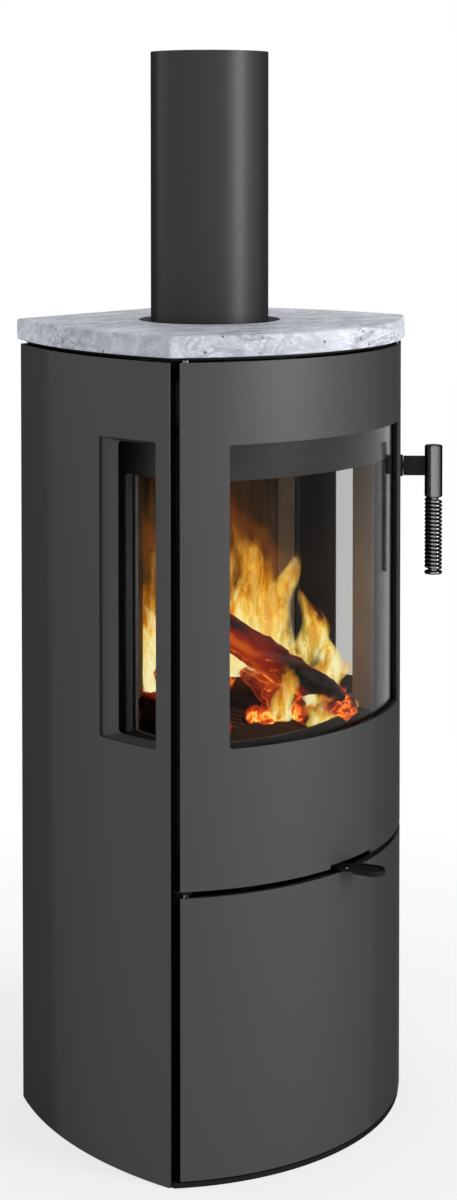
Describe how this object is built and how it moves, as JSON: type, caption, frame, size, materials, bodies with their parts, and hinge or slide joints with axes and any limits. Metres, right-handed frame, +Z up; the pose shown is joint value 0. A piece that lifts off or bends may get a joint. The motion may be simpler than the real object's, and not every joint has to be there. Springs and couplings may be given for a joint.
{
  "type": "wood stove",
  "caption": "Slim wood stove with a bowed glazed door, side windows, stone top, lower store door, spring-grip handle, air lever and flue pipe.",
  "frame": {"origin": "on the floor under the flue's axis, at the base plate's underside", "axes": "+X to the stove's right as seen from the front, +Y to its back, +Z up; the doors face -Y"},
  "size_m": [0.4673, 0.4864, 1.35],
  "materials": {
    "casing_paint": "satin grey-black heat-proof paint",
    "black_paint": "matt black heat-proof paint",
    "flue_paint": "satin black heat-proof paint",
    "stone": "honed pale blue-grey veined stone",
    "cast_iron": "as cast, blacked",
    "firebox_steel": "heat-browned black paint",
    "fire_board": "pressed fire board, sooted",
    "glass": "clear ceramic glass",
    "seal": "black glass-fibre rope and tape",
    "bright_steel": "polished dark chrome",
    "steel": "bright zinc-plated steel"
  },
  "bodies": {
    "stove_body": {"base_plate": "black_paint", "left_side_panel": "casing_paint", "right_side_panel": "casing_paint", "rear_panel": "casing_paint", "rear_panel_screws": "black_paint", "front_posts": "black_paint", "rear_posts": "black_paint", "top_plate": "black_paint", "stone_top": "stone", "flue_collar": "cast_iron", "flue_rosette": "black_paint", "flue_pipe": "flue_paint", "firebox_shell": "firebox_steel", "back_lining": "fire_board", "side_linings": "fire_board", "hearth_bricks": "fire_board", "grate": "cast_iron", "log_retainer": "cast_iron", "baffle_board": "fire_board", "smoke_deflector": "firebox_steel", "rear_heat_shield": "firebox_steel", "window_frames": "casing_paint", "window_seals": "seal", "window_glasses": "glass", "window_frame_screws": "black_paint", "divider_shelf": "black_paint", "log_store_liner": "black_paint", "air_box": "black_paint", "air_duct": "black_paint", "air_inlet_stub": "black_paint", "hinge_pins": "steel", "hinge_bracket": "black_paint", "latch_striker": "steel", "magnet_catch": "black_paint", "lever_pivot_pin": "black_paint", "ash_pan_guides": "black_paint"},
    "upper_door": {"upper_door_skin": "casing_paint", "upper_door_frame": "cast_iron", "front_glass": "glass", "front_glass_seal": "seal", "door_rope_seal": "seal", "upper_hinge_sleeves": "steel", "door_frame_screws": "steel", "handle_bush": "steel", "handle_escutcheon": "black_paint"},
    "handle": {"handle_arm": "black_paint", "grip_sleeve": "bright_steel", "grip_rod": "bright_steel", "grip_spring": "bright_steel", "latch_tongue": "cast_iron", "shaft_nut": "steel"},
    "lower_door": {"lower_door_skin": "casing_paint", "lower_door_stiffener": "black_paint", "lower_hinge_sleeves": "steel", "lower_strike_plate": "steel"},
    "air_lever": {"air_lever": "black_paint", "air_shutter": "black_paint", "lever_rivet": "steel"},
    "ash_pan": {"ash_pan": "black_paint"}
  },
  "joints": [
    {"name": "upper_door_hinge", "type": "hinge", "parent": "stove_body", "child": "upper_door", "pos_m": [-0.197, -0.137, 0.667], "axis": [0, 0, -1], "range_deg": [0, 100]},
    {"name": "lower_door_hinge", "type": "hinge", "parent": "stove_body", "child": "lower_door", "pos_m": [-0.197, -0.137, 0.177], "axis": [0, 0, -1], "range_deg": [0, 100]},
    {"name": "handle_turn", "type": "hinge", "parent": "upper_door", "child": "handle", "pos_m": [0.19917, -0.15522, 0.8156], "axis": [0.6157, -0.788, 0], "range_deg": [0, 90]},
    {"name": "air_lever_swing", "type": "hinge", "parent": "stove_body", "child": "air_lever", "pos_m": [-0.04, -0.07, 0.35], "axis": [0, 0, 1], "range_deg": [-6.5, 13]},
    {"name": "ash_pan_slide", "type": "slide", "parent": "stove_body", "child": "ash_pan", "axis": [0, -1, 0], "range_m": [0, 0.19]}
  ],
  "couplings": [
    {"joint": "ash_pan_slide", "follows": "upper_door_hinge", "m_per_rad": 0.108}
  ]
}
